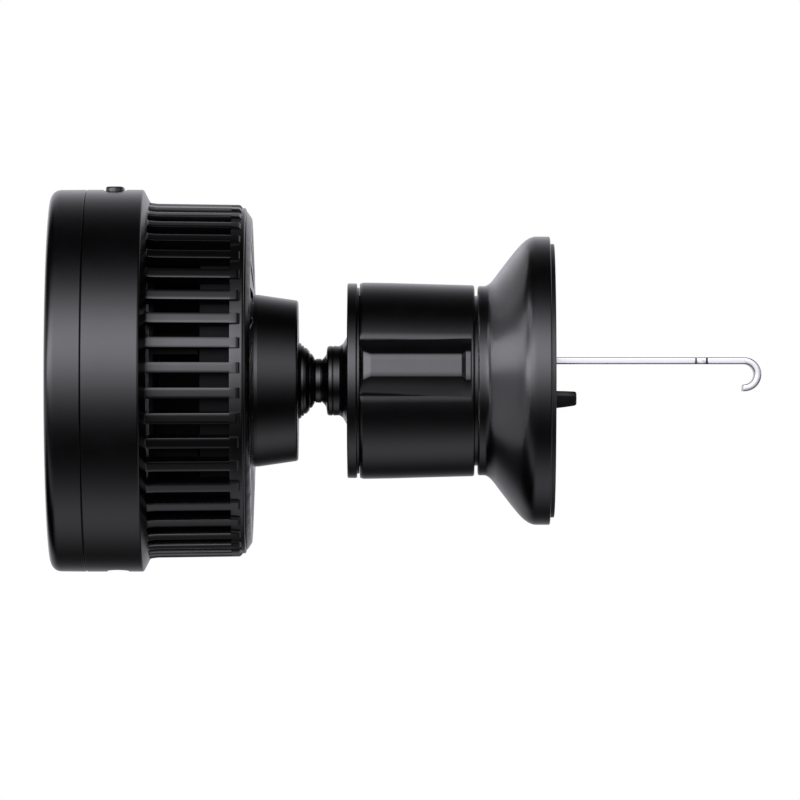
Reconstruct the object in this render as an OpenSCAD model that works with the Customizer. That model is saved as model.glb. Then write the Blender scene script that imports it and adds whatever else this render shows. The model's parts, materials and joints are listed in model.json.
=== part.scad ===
// Air-vent hook mount with a round, fan-cooled magnetic charging head.
// The main axis is X. The rear pad's contact face is the YZ plane through the origin and the
// head is on the -X side. +Z is up.

/* [Mount base] */
// Length of the flared base, from the rear pad's face to its front lip
base_len = 12.4; // [12.2:0.1:14]
// Radius of the base's rim
rim_r = 23.4; // [22.5:0.1:26]
// Radius of the base's front lip
lip_r = 15.4; // [15:0.1:16]
// Radius of the rubber pad on the base's rear face
pad_r = 22.2; // [21.5:0.1:22.3]
// Thickness of the rubber pad
pad_t = 0.7; // [0.5:0.1:1]

/* [Tightening knob] */
// Length of the knob
knob_len = 18.55; // [18.05:0.5:24.05]
// Radius of the knob at its front end
knob_r = 15.96; // [15.5:0.02:17]
// Gap between the knob and the base's lip
knob_gap = 0.55; // [0.4:0.05:1]
// Number of raised grips round the knob
grip_count = 2; // [1:1:6]
// Direction of the first grip, in degrees above the -Y side
grip_angle = 8; // [0:1:45]
// Radius out to the grip's flat crown
grip_r = 17.44; // [16.6:0.02:18]

/* [Hook] */
// Thickness of the steel strip
strip_t = 1.1; // [0.9:0.1:1.2]
// Width of the steel strip
strip_w = 6; // [4:0.5:7]
// Height of the strip's underside above the main axis
strip_z = 2.68; // [2.4:0.02:2.9]
// Distance from the pad's face to the centre of the hook's bend
bend_x = 30.8; // [26:0.2:36]
// Inner radius of the hook's bend
bend_r = 1.65; // [1.4:0.05:2]
// How far the knob draws the hook in
hook_travel = 9; // [6:0.5:9.5]

/* [Ball joint] */
// Radius of the ball
ball_r = 7.2; // [7:0.05:7.3]
// Distance from the stem's flange to the centre of the ball
stem_len = 11.45; // [11.45:0.1:14.05]
// Running clearance of the ball and the liners
ball_play = 0.05; // [0.03:0.01:0.06]
// Thickness of the stem's flange
flange_t = 1.6; // [1.5:0.1:3]
// Radius of the stem's flange
flange_r = 15.8; // [15:0.1:15.9]

/* [Charging head] */
// Outer radius of the head
head_r = 31; // [31:0.1:33]
// Length of the front cover
cover_len = 5.8; // [5.8:0.1:7]
// Length of the smooth band behind the front cover
band_len = 9.2; // [9.2:0.1:12]
// Length of the slatted cage
cage_len = 16.7; // [16.7:0.1:22]
// Outer radius of the slats at the front of the cage
slat_r = 28.75; // [28.6:0.05:29]
// Number of slats round the cage
slat_count = 44; // [30:1:48]
// Width of the gap between two slats
slat_gap = 2.3; // [1.8:0.1:2.4]
// Number of slots in the rear grille
grille_count = 26; // [12:1:28]
// Number of magnets in the ring
magnet_count = 16; // [12:1:24]

/* [Fan] */
// Radius out to the tips of the fan's blades
fan_r = 25.6; // [22:0.2:25.8]
// Number of blades
blade_count = 9; // [5:1:11]
// Number of fins on the heat sink
fin_count = 13; // [7:1:15]

/* [Hidden] */
$fn = 72;

// Stations along the main axis, from the pad forward
plate_x1 = -pad_t;                    // the base plate's rear face
plate_t = 2;
plate_x0 = plate_x1 - plate_t;
lip_x = -base_len;
knob_x1 = lip_x - knob_gap;
knob_x0 = knob_x1 - knob_len;
groove_w = 0.45;                      // the shadow gap in front of the knob
flange_x1 = knob_x0 - groove_w;
flange_x0 = flange_x1 - flange_t;
ball_x = flange_x0 - stem_len;
boss_x1 = ball_x + 3.5;               // the socket's rear face, behind the ball's centre
seat_x = boss_x1 - 7.4;               // where the boss sits on the grille
cage_x1 = boss_x1 - 8.4;
cage_x0 = cage_x1 - cage_len;
seam_x = cage_x0 - band_len;
face_x = seam_x - cover_len;

// Shells
wall = 1.8;                           // of the cover and the band
cage_in_r = 26.8;
cage_ring_r = 28.05;                  // the wall that joins the slats at the rear
slat_r_rear = slat_r - 0.2;           // draft of the slats
slat_round = 0.6;                     // rounding of the slats' rear ends
duct_r = 26.5;                        // outside of the fan's inlet duct
slot_x0 = cage_x0 + 1.1;
slot_x1 = cage_x1 - 2.3;
edge = 0.3;                           // small edge break

// Inside the head, measured from its front face
pad_seat_r = head_r - 3;
front_t = 1.6;                        // pad and plate together
magnet_x = face_x + front_t;
magnet_t = 2.5;
ring_in_r = 22.8;
ring_out_r = 27.4;
spreader_x = magnet_x + magnet_t + 0.6;
sink_x = spreader_x + 1;
sink_r = 20;
board_x0 = face_x + 8.1;
board_t = 1.2;
board_x1 = board_x0 + board_t;
post_at = 25.6;                       // radius of the board's posts
port_x = board_x1 + 1.6;              // centre of the USB-C inlet
port_flat_z = -(head_r - 0.3);
button_x = board_x1 + 1.1;
button_len = 8;
button_w = 2.9;
button_top = head_r + 0.45;

// Fan
cup_r = 10.6;                         // the socket's cup, inside the head
cup_x = ball_x - 9.6;
hub_r = 9.5;
rotor_x0 = cup_x - 9.2;
rotor_x1 = cup_x - 2.6;
blade_x0 = rotor_x0 - 1.2;

// Knob and guide
tube_r = 10;
tube_in_r = 7.6;
tube_x0 = knob_x0 + 0.7;
spigot_r = 13.82;                     // the knob turns on this, front and rear
shoulder_r = 15.1;                    // fills most of the groove in front of the knob
knob_bore = 13.9;
nut_in_r = 12.1;
carriage_len = 4;
carriage_x1 = knob_x1 - 1.8;
carriage_x0 = carriage_x1 - carriage_len;
wing_r = nut_in_r - 0.1;
wing_h = 4.2;
bend_z = strip_z - bend_r;            // centre of the hook's bend

// Stages of the ball joint, as shells inside each other
shell_t = 0.45;
inner_r0 = ball_r + ball_play;
inner_r1 = inner_r0 + shell_t;
outer_r0 = inner_r1 + ball_play;
outer_r1 = outer_r0 + shell_t;
cavity_r = outer_r1 + ball_play;
mouth_r = 6.8;

// ---- helpers: everything round turns about the main axis ----

// Turns a profile drawn as [radius, station]
module turned() {
    rotate([0, 90, 0])
        rotate_extrude()
            children();
}

// Extrudes a section drawn looking along +X, where x is -Z and y is Y
module along(x0, x1) {
    translate([x0, 0, 0])
        rotate([0, 90, 0])
            linear_extrude(x1 - x0)
                children();
}

module disc(r, x0, x1) {
    along(x0, x1)
        circle(r);
}

module ring(r_out, r_in, x0, x1) {
    along(x0, x1)
        difference() {
            circle(r_out);
            circle(r_in);
        }
}

// A box given by its low and high corners
module block(low, high) {
    translate(low)
        cube(high - low);
}

// A slot with round ends, long along x
module pill(length, width) {
    square([length - width, width], center = true);
    for (side = [-1, 1])
        translate([side * (length - width) / 2, 0])
            circle(width / 2);
}

// Repeats its children about the main axis; the first is turned by "first" degrees
module around(count, first = 0) {
    for (i = [0 : count - 1])
        rotate([first + i * 360 / count, 0, 0])
            children();
}

// Points of an arc in a profile, from angle a0 to a1
function arc(centre, r, a0, a1, steps) = [
    for (i = [0 : steps])
        let (a = a0 + (a1 - a0) * i / steps)
            centre + r * [cos(a), sin(a)]
];

// ---- mount base ----

// Ball, neck, collar and flange in one piece, with the knob's front spigot
module ball_stem() {
    neck_r = 3.6;
    collar_r = 5.7;
    color("#1b1b1d")
        difference() {
            union() {
                translate([ball_x, 0, 0])
                    sphere(ball_r);
                turned()
                    polygon([
                        [0, ball_x], [3.4, ball_x + 6.3], [neck_r, ball_x + 6.5],
                        [neck_r, ball_x + 7.3], [3.25, ball_x + 7.6], [3.4, ball_x + 7.9],
                        [collar_r - edge, ball_x + 8], [collar_r, ball_x + 8.3],
                        [collar_r, ball_x + 9.8], [collar_r - 0.2, ball_x + 10.1],
                        [collar_r, ball_x + 10.7], [6.75, flange_x0],
                        [flange_r - edge, flange_x0], [flange_r, flange_x0 + edge],
                        [flange_r, flange_x1 - edge], [flange_r - edge, flange_x1],
                        [shoulder_r, flange_x1], [shoulder_r, knob_x0 - 0.08],
                        [spigot_r, knob_x0 - 0.08], [spigot_r, tube_x0], [0, tube_x0]
                    ]);
            }
            disc(1.5, tube_x0 - 9, tube_x0 + 1);
        }
}

// Countersunk screw that holds the guide tube to the stem
module stem_screw() {
    color("silver")
        turned()
            polygon([
                [0, tube_x0 - 8], [1.5, tube_x0 - 8], [1.5, tube_x0 + 0.9],
                [3, tube_x0 + 2.4], [0, tube_x0 + 2.4]
            ]);
}

// Fixed tube between stem and base: two side slots keep the carriage from turning
module guide_tube() {
    end_t = 2.4;
    color("#202022")
        difference() {
            disc(tube_r, tube_x0, plate_x0);
            disc(tube_in_r, tube_x0 + end_t, plate_x0 + 1);
            turned()
                polygon([
                    [0, tube_x0 - 1], [1.5, tube_x0 - 1], [1.5, tube_x0 + 0.9],
                    [3, tube_x0 + end_t], [0, tube_x0 + end_t]
                ]);
            block([tube_x0 + end_t, -tube_r - 1, -wing_h / 2 - 0.1],
                  [plate_x0 + 1, tube_r + 1, wing_h / 2 + 0.1]);
        }
}

post_circle = 14.2;

// Flared bell: front lip, concave neck, straight flare and rolled rim
module base_cup() {
    outer = concat(
        [[lip_r - edge, lip_x], [lip_r, lip_x + edge]],
        arc([lip_r + 0.9, lip_x + 1.4], 0.9, 180, 126, 4),
        [[rim_r - 3.4, -7.2]],
        arc([rim_r - 2.4, -3.1], 2.4, -50, 0, 5),
        [[rim_r, plate_x1 - edge], [rim_r - edge, plate_x1]]
    );
    hub_x = knob_x1 - 0.9;             // the rear spigot's end, inside the knob
    inner = [
        [21.3, plate_x1], [21.3, -4.6], [14.8, -9.6], [tube_r + 0.05, -9.6],
        [tube_r + 0.05, hub_x], [spigot_r, hub_x], [spigot_r, lip_x]
    ];
    color("#1b1b1d")
        difference() {
            union() {
                turned()
                    polygon(concat(outer, inner));
                around(3, 90)
                    translate([0, 0, post_circle])
                        disc(2.2, -9.75, plate_x0);
            }
            around(3, 90)
                translate([0, 0, post_circle])
                    disc(0.9, -8.4, plate_x0 + 1);
        }
}

tab_w = 9;

// Rigid plate that closes the bell and carries the guide and the tab
module base_plate() {
    color("#232325")
        difference() {
            disc(21.25, plate_x0, plate_x1);
            block([plate_x0 - 1, -4.1, strip_z - 0.95], [1, 4.1, strip_z + strip_t + 0.95]);
            block([plate_x0 - 1, -tab_w / 2 + 1, -4.2], [1, tab_w / 2 - 1, -2]);
            around(3, 90)
                translate([0, 0, post_circle])
                    union() {
                        disc(0.95, plate_x0 - 1, 1);
                        disc(1.85, plate_x1 - 1, 1);
                    }
        }
}

module base_screws() {
    color("silver")
        around(3, 90)
            translate([0, 0, post_circle])
                union() {
                    disc(1.8, plate_x1 - 1, plate_x1);
                    disc(0.9, -8, plate_x1 - 0.9);
                }
}

// Rubber ring face that rests on the vent, cut out for the hook and the tab
module base_pad() {
    tab_cut = tab_w / 2 + 0.05;
    color("#141415")
        difference() {
            disc(pad_r, plate_x1, 0);
            block([-2, -strip_w / 2 - 0.6, strip_z - 0.6],
                  [1, strip_w / 2 + 0.6, strip_z + strip_t + 0.6]);
            block([-2, -tab_cut, -4.7], [1, tab_cut, -1.2]);
        }
}

// Bush that the strip slides through
module hook_guide() {
    color("#2b2b2e")
        difference() {
            block([plate_x0, -4.1, strip_z - 0.95], [plate_x1, 4.1, strip_z + strip_t + 0.95]);
            block([plate_x0 - 1, -strip_w / 2 - 0.1, strip_z - 0.1],
                  [1, strip_w / 2 + 0.1, strip_z + strip_t + 0.1]);
        }
}

// Tapered stub under the hook, with chamfered upper edges, and a key into the plate
module support_tab() {
    tab_len = 3.57;
    side = [
        [plate_x1, -4.58], [plate_x1, -1.62], [0, -1.62], [tab_len - edge, -1.75],
        [tab_len, -2.1], [tab_len, -3.75], [tab_len - edge, -4.05], [0, -4.5]
    ];
    section = [
        [-tab_w / 2, -4.7], [-tab_w / 2, -2], [-tab_w / 2 + 1, -1.3],
        [tab_w / 2 - 1, -1.3], [tab_w / 2, -2], [tab_w / 2, -4.7]
    ];
    color("#17171a")
        union() {
            intersection() {
                rotate([90, 0, 0])
                    linear_extrude(tab_w, center = true)
                        polygon(side);
                rotate([90, 0, 90])
                    translate([0, 0, -3])
                        linear_extrude(10)
                            polygon(section);
            }
            block([plate_x0 + 0.4, -tab_w / 2 + 1, -4.2], [plate_x1 + 0.1, tab_w / 2 - 1, -2]);
        }
}

// ---- knob ----

// One grip: a long trapezoid with sloped sides and a ledge at each end
module grip() {
    crown = 1.88;
    root = 4.14;
    root_r = 15.2;
    step_r = grip_r - 0.44;            // of the ledges at both ends
    x0 = knob_x0 + 0.05;
    x1 = knob_x1 - 0.55;
    intersection() {
        along(x0, x1)
            polygon([
                [-root_r, root + 0.2], [-grip_r, crown], [-grip_r, -crown], [-root_r, -root - 0.2]
            ]);
        rotate([90, 0, 0])
            linear_extrude(20, center = true)
                polygon([
                    [x0, root_r - 1], [x0, knob_r - 0.1], [x0 + 0.6, step_r],
                    [x0 + 1.8, grip_r + 0.01], [x1 - 1.6, grip_r + 0.01], [x1 - 0.8, step_r],
                    [x1 - 0.15, step_r], [x1, step_r - 0.2], [x1, root_r - 1]
                ]);
    }
}

module knob_sleeve() {
    rear_r = knob_r - 0.46;
    color("#1b1b1d")
        difference() {
            union() {
                turned()
                    polygon([
                        [10, knob_x0], [knob_r - 0.5, knob_x0], [knob_r - 0.1, knob_x0 + 0.15],
                        [knob_r, knob_x0 + 0.5], [rear_r, knob_x1 - 0.5],
                        [rear_r - 0.1, knob_x1 - 0.15], [rear_r - 0.5, knob_x1], [10, knob_x1]
                    ]);
                around(grip_count, 90 - grip_angle)
                    grip();
            }
            disc(knob_bore, knob_x0 - 1, knob_x1 + 1);
        }
}

// Threaded liner, drawn at the thread's mean size, pressed into the sleeve
module nut_insert() {
    color("goldenrod")
        ring(knob_bore, nut_in_r, tube_x0 + 0.6, knob_x1 - 1.6);
}

// Thin wave washer that takes up the knob's end play
module knob_washer() {
    color("silver")
        ring(13.6, 12.4, knob_x1 - 1.6, knob_x1 - 1.1);
}

// ---- hook ----

// Spring-steel strip: straight shank with a waist, bend and cut tip
module steel_hook() {
    mid = bend_r + strip_t / 2;
    out = bend_r + strip_t;
    waist_x = bend_x - 6.95;
    waist = 0.55;
    tip = 96;                          // the bend runs this far below the level
    start = carriage_x0 + 0.5;
    color("#d8d9dc")
        difference() {
            union() {
                block([start, -strip_w / 2, strip_z], [bend_x, strip_w / 2, strip_z + strip_t]);
                translate([bend_x, 0, bend_z])
                    rotate([90, 0, 0])
                        rotate_extrude(angle = 90 + tip, start = -tip)
                            translate([bend_r, -strip_w / 2])
                                square([strip_t, strip_w]);
            }
            for (side = [-1, 1])
                linear_extrude(20, center = true)
                    polygon([
                        [waist_x - 1.05, side * (strip_w / 2 + 1)],
                        [waist_x - 1.05, side * strip_w / 2],
                        [waist_x - 0.7, side * (strip_w / 2 - waist)],
                        [waist_x + 0.7, side * (strip_w / 2 - waist)],
                        [waist_x + 1.05, side * strip_w / 2],
                        [waist_x + 1.05, side * (strip_w / 2 + 1)]
                    ]);
            for (side = [-1, 1])
                translate([carriage_x0 + 2, side * 1.6, 0])
                    cylinder(r = 0.8, h = 10);
        }
}

// Slider in the guide tube: its two wings run in the knob's thread
module carriage() {
    color("#3a3a3d")
        difference() {
            union() {
                disc(tube_in_r - 0.1, carriage_x0, carriage_x1);
                intersection() {
                    disc(wing_r, carriage_x0, carriage_x1);
                    block([carriage_x0, -20, -wing_h / 2], [carriage_x1, 20, wing_h / 2]);
                }
            }
            block([carriage_x0 + 0.5, -strip_w / 2, strip_z],
                  [carriage_x1 + 1, strip_w / 2, strip_z + strip_t]);
            block([carriage_x0 - 1, -20, strip_z + strip_t], [carriage_x1 + 1, 20, 20]);
            for (side = [-1, 1])
                translate([carriage_x0 + 2, side * 1.6, -1])
                    cylinder(r = 0.8, h = 10);
        }
}

module hook_screws() {
    top = strip_z + strip_t;
    color("silver")
        for (side = [-1, 1])
            translate([carriage_x0 + 2, side * 1.6, 0])
                union() {
                    translate([0, 0, -1])
                        cylinder(r = 0.8, h = top + 1);
                    translate([0, 0, top])
                        cylinder(r = 1.4, h = 0.8);
                }
}

// ---- ball joint ----

// Part of a spherical shell about the ball's centre, between two angles from +X
module shell_band(r_in, r_out, near, far) {
    reach = 20;
    translate([ball_x, 0, 0])
        difference() {
            sphere(r_out);
            sphere(r_in);
            rotate([0, 90, 0])
                rotate_extrude()
                    polygon([
                        [0, 0], [reach * sin(near), reach * cos(near)], [reach, reach], [0, reach]
                    ]);
            if (far < 180)
                rotate([0, 90, 0])
                    rotate_extrude()
                        polygon([
                            [0, 0], [reach * sin(far), reach * cos(far)], [reach, -reach], [0, -reach]
                        ]);
        }
}

module rear_liner_cup() {
    color("#e8e4da")
        shell_band(inner_r0, inner_r1, 118, 180);
}

module friction_ring() {
    color("silver")
        shell_band(outer_r0, outer_r1, 96, 150);
}

// Cone-shaped socket behind the grille, with its cup reaching into the head
module socket_boss() {
    base_r = 13.95;
    end_r = 13.05;
    color("#18181a")
        difference() {
            turned()
                polygon([
                    [0, cup_x], [cup_r, cup_x], [cup_r, seat_x], [base_r, seat_x],
                    [base_r, seat_x + 0.9], [end_r, boss_x1 - 0.7], [end_r - 0.4, boss_x1],
                    [0, boss_x1]
                ]);
            translate([ball_x, 0, 0])
                sphere(ball_r + 2 * ball_play);
            translate([ball_x, 0, 0])
                intersection() {
                    sphere(cavity_r);
                    disc(20, -20, -0.6);
                }
            disc(mouth_r, ball_x, boss_x1 + 1);
        }
}

// Nut inside the head that clamps the socket to the grille
module ring_nut() {
    color("#505054")
        difference() {
            ring(14.5, cup_r, cage_x1 - 2.8, cage_x1 - 0.8);
            around(4)
                block([cage_x1 - 3, -1, 13.2], [cage_x1, 1, 16]);
        }
}

// ---- head shells ----

module face_pad() {
    groove = 0.3;
    color("#121214")
        difference() {
            disc(pad_seat_r, face_x, face_x + 0.8);
            ring(pad_seat_r - 2.6, pad_seat_r - 3.2, face_x - 1, face_x + groove);
            ring(pad_seat_r - 7.6, pad_seat_r - 8.2, face_x - 1, face_x + groove);
        }
}

module front_cover() {
    round_r = 1.7;
    seat = pad_seat_r + 0.05;
    color("#1b1b1d")
        turned()
            polygon(concat(
                [[0, face_x + 0.8], [seat, face_x + 0.8], [seat, face_x]],
                arc([head_r - round_r, face_x + round_r], round_r, -90, 0, 6),
                [
                    [head_r, seam_x - 0.15], [head_r - 0.15, seam_x],
                    [head_r - wall, seam_x], [head_r - wall, face_x + front_t],
                    [0, face_x + front_t]
                ]
            ));
}

// Holes for the mode button and the USB-C inlet
module side_openings() {
    translate([button_x, 0, 0]) {
        linear_extrude(40)
            rotate(90)
                pill(button_len + 0.2, button_w + 0.2);
        translate([0, 0, head_r - 0.25])
            linear_extrude(4)
                rotate(90)
                    pill(button_len + 1, button_w + 1);
    }
    translate([port_x, 0, 0])
        mirror([0, 0, 1])
            linear_extrude(40)
                rotate(90)
                    pill(9.3, 3.6);
    translate([port_x - 2.05, -6, port_flat_z - 4])
        cube([4.1, 12, 4]);
}

// Gaps between the slats, in the section plane
module slat_gaps() {
    for (i = [0 : slat_count - 1])
        rotate(i * 360 / slat_count)
            translate([cage_in_r - 1, -slat_gap / 2])
                square([4, slat_gap]);
}

// Smooth band and slatted cage in one moulding, with posts for the board
module head_housing() {
    in_r = head_r - wall;
    step_x = cage_x0 - 1.4;
    profile = concat(
        [
            [in_r - 0.9, seam_x - 1.4], [in_r - 0.1, seam_x - 1.4], [in_r - 0.1, seam_x],
            [head_r - 0.15, seam_x], [head_r, seam_x + 0.15]
        ],
        arc([head_r - 0.4, cage_x0 - 0.3], 0.4, 0, 60, 4),
        [[head_r - 1.35, cage_x0 + 0.75]],
        arc([slat_r + 0.9, cage_x0 + 1.75], 0.9, 240, 180, 4),
        arc([slat_r_rear - slat_round, cage_x1 - 1.25], slat_round, 0, 80, 5),
        arc([cage_ring_r - 0.35, cage_x1 - 0.35], 0.35, 0, 90, 4),
        [
            [cage_in_r + 0.7, cage_x1], [cage_in_r + 0.7, cage_x1 - 0.8],
            [cage_in_r, cage_x1 - 0.8], [cage_in_r, step_x], [in_r, step_x],
            [in_r, seam_x + 1.2], [in_r - 0.9, seam_x + 1.2]
        ]
    );
    color("#1b1b1d")
        difference() {
            union() {
                turned()
                    polygon(profile);
                around(4, 45) {
                    translate([0, 0, post_at])
                        disc(2, board_x1, step_x + 1);
                    block([board_x1 + 1, -0.7, post_at], [step_x + 1, 0.7, in_r + 0.5]);
                }
            }
            along(slot_x0, slot_x1)
                slat_gaps();
            along(slot_x1, cage_x1 + 1)
                difference() {
                    slat_gaps();
                    circle(cage_ring_r);
                }
            around(4, 45)
                translate([0, 0, post_at])
                    disc(0.8, board_x1 - 1, step_x);
            side_openings();
        }
}

// Slightly domed rear grille with slanted slots
module rear_grille() {
    outer_r = cage_in_r + 0.65;
    seat_r = 14;
    color("#1b1b1d")
        difference() {
            turned()
                polygon([
                    [cup_r + 0.05, cage_x1 - 0.8], [outer_r, cage_x1 - 0.8],
                    [outer_r, cage_x1 + 0.3], [outer_r - 1.15, cage_x1 + 0.9],
                    [seat_r, cage_x1 + 1.4], [seat_r, seat_x], [cup_r + 0.05, seat_x]
                ]);
            along(cage_x1 - 2, cage_x1 + 3)
                for (i = [0 : grille_count - 1])
                    rotate(i * 360 / grille_count)
                        translate([20.6, 0])
                            rotate(35)
                                pill(10, 1.5);
        }
}

module mode_button() {
    color("#26262a")
        translate([button_x, 0, 0])
            union() {
                translate([0, 0, head_r - 2.6])
                    linear_extrude(button_top - head_r + 2.6)
                        rotate(90)
                            pill(button_len, button_w);
                translate([0, 0, head_r - 3])
                    linear_extrude(0.6)
                        rotate(90)
                            pill(9.2, 3.8);
                block([-0.8, -1.5, head_r - 3.8], [0.8, 1.5, head_r - 2.9]);
            }
}

// ---- charging parts ----

module magnet_array() {
    gap = 0.6;
    color("#9a9aa0")
        difference() {
            ring(ring_out_r, ring_in_r, magnet_x, magnet_x + magnet_t);
            around(magnet_count)
                block([face_x, -gap / 2, 0], [face_x + 10, gap / 2, head_r]);
        }
}

module magnet_back_ring() {
    color("silver")
        ring(ring_out_r, ring_in_r, magnet_x + magnet_t, spreader_x);
}

// Flat spiral winding, as its ring of turns
module charging_coil() {
    turns = 9;
    pitch = 1.25;
    color("#b4703a")
        for (i = [0 : turns - 1])
            ring(10.1 + i * pitch, 9 + i * pitch, magnet_x, magnet_x + 1.1);
}

module ferrite_disc() {
    color("#3c3c3e")
        disc(21.6, magnet_x + 1.1, magnet_x + 1.7);
}

module heat_spreader() {
    color("#b9bcc0")
        union() {
            disc(21.6, magnet_x + 1.7, spreader_x + 0.5);
            disc(27.9, spreader_x, sink_x);
        }
}

module heat_sink() {
    pitch = 2 * (sink_r - 1) / (fin_count - 1);
    color("#aeb1b5")
        intersection() {
            disc(sink_r, sink_x, sink_x + 9.6);
            union() {
                disc(sink_r, sink_x, sink_x + 1.5);
                for (i = [0 : fin_count - 1])
                    translate([sink_x + 1, -sink_r + 0.5 + i * pitch, -sink_r])
                        cube([8.6, 1, 2 * sink_r]);
            }
        }
}

// Ring-shaped board, notched at the top for the button
module circuit_board() {
    color("#1d4a2c")
        difference() {
            ring(28, sink_r + 1, board_x0, board_x1);
            block([board_x0 - 1, -6, 26.2], [board_x1 + 1, 6, 40]);
            around(4, 45)
                translate([0, 0, post_at])
                    disc(1, board_x0 - 1, board_x1 + 1);
        }
}

// Chips, inductors and capacitors on the board's rear face
module board_components() {
    x = board_x1;
    color("#2e2e31") {
        for (a = [20, 160, 250])
            rotate([a, 0, 0])
                block([x, -2.5, 22], [x + 1.2, 2.5, 27]);
        for (a = [70, 110, 290])
            rotate([a, 0, 0])
                block([x, -2, 22.5], [x + 2.6, 2, 26.5]);
        for (a = [200, 211, 340])
            rotate([a, 0, 0])
                translate([0, 0, 24.5])
                    disc(1.6, x, x + 3.4);
    }
}

module board_screws() {
    color("silver")
        around(4, 45)
            translate([0, 0, post_at])
                union() {
                    disc(1.8, board_x0 - 1, board_x0);
                    disc(1, board_x0 - 0.1, board_x1);
                    disc(0.8, board_x0, board_x1 + 3);
                }
}

// Receptacle shell, open downward
module usb_socket() {
    color("silver")
        translate([port_x, 0, port_flat_z + 0.1])
            difference() {
                linear_extrude(7.3)
                    rotate(90)
                        pill(8.94, 3.2);
                translate([0, 0, -1])
                    linear_extrude(7.3)
                        rotate(90)
                            pill(8.34, 2.6);
            }
}

module usb_tongue() {
    color("#101012")
        translate([port_x, 0, port_flat_z + 0.9])
            block([-0.35, -3.3, 0], [0.35, 3.3, 5.5]);
}

module button_switch() {
    color("#3a3a3e")
        union() {
            block([board_x1, -3, 22.6], [board_x1 + 2.6, 3, 26]);
            translate([button_x, 0, 25.9])
                cylinder(r = 0.8, h = 0.7);
        }
}

// ---- fan ----

// Back plate with its bearing tube, and the inlet duct that it carries on six struts
module fan_stator() {
    color("#202024")
        union() {
            disc(9, cup_x - 1.2, cup_x);
            ring(2.6, 1.9, cup_x - 7.6, cup_x - 1);
            ring(duct_r, duct_r - 0.6, rotor_x1 + 0.3, cage_x1 - 0.9);
            around(6)
                block([cup_x - 1.2, -0.8, 8.5], [cup_x, 0.8, duct_r - 0.3]);
        }
}

// Four wound poles round the bearing tube
module fan_coils() {
    color("#b4703a")
        difference() {
            disc(6.6, cup_x - 6, cup_x - 2);
            disc(2.65, cup_x - 7, cup_x - 1);
            around(4, 45)
                block([cup_x - 7, -0.6, 0], [cup_x, 0.6, 8]);
        }
}

module fan_bearing() {
    color("goldenrod")
        ring(1.9, 1.03, cup_x - 7.4, cup_x - 1.4);
}

// Hub cup with curved blades on a front plate
module fan_impeller() {
    sweep = 17;                        // radius of each blade's curve
    color("#1f1f22")
        union() {
            difference() {
                disc(hub_r, rotor_x0, rotor_x1);
                disc(hub_r - 1, rotor_x0 + 1.2, rotor_x1 + 1);
                disc(1, rotor_x0 - 1, rotor_x0 + 2);
            }
            disc(fan_r, blade_x0, blade_x0 + 0.6);
            along(blade_x0, rotor_x1)
                intersection() {
                    difference() {
                        circle(fan_r);
                        circle(hub_r - 0.3);
                    }
                    for (i = [0 : blade_count - 1])
                        rotate(i * 360 / blade_count)
                            translate([hub_r, sweep])
                                difference() {
                                    circle(sweep + 0.5);
                                    circle(sweep - 0.5);
                                    translate([-40, -20])
                                        square([39, 60]);
                                    translate([-40, 0])
                                        square([80, 60]);
                                }
                }
        }
}

module fan_shaft() {
    color("silver")
        disc(1, rotor_x0, cup_x - 1.8);
}

module rotor_magnet() {
    color("#4a4a4e")
        ring(hub_r - 1, hub_r - 2.1, rotor_x0 + 1.4, rotor_x1);
}

ball_stem();
stem_screw();
guide_tube();
base_cup();
base_plate();
base_screws();
base_pad();
hook_guide();
support_tab();
knob_sleeve();
nut_insert();
knob_washer();
steel_hook();
carriage();
hook_screws();
rear_liner_cup();
friction_ring();
face_pad();
front_cover();
magnet_array();
magnet_back_ring();
charging_coil();
ferrite_disc();
heat_spreader();
heat_sink();
circuit_board();
board_components();
board_screws();
usb_socket();
usb_tongue();
button_switch();
mode_button();
head_housing();
rear_grille();
socket_boss();
ring_nut();
fan_stator();
fan_coils();
fan_bearing();
fan_impeller();
fan_shaft();
rotor_magnet();
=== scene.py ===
import json
import math

import bmesh
import bpy
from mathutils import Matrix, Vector, geometry


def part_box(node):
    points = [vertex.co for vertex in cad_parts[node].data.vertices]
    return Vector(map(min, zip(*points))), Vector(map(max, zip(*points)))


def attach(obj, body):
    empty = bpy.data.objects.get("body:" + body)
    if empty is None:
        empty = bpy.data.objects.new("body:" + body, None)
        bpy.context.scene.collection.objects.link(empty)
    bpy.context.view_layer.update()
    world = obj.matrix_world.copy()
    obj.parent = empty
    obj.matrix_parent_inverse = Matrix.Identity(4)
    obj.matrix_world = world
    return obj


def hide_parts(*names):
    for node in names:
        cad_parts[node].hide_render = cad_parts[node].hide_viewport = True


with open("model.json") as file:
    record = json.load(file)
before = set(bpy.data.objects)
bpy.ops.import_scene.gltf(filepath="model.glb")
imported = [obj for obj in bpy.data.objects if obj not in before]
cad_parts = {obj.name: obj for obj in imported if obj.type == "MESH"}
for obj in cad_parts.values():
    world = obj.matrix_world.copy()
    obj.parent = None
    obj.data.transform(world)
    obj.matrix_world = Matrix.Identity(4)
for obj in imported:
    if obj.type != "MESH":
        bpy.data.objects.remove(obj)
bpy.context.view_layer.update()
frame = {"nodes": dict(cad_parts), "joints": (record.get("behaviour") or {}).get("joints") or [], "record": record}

MM = 0.001
TAU = 2 * math.pi

# ---------------------------------------------------------------- sizes, in millimetres

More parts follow.
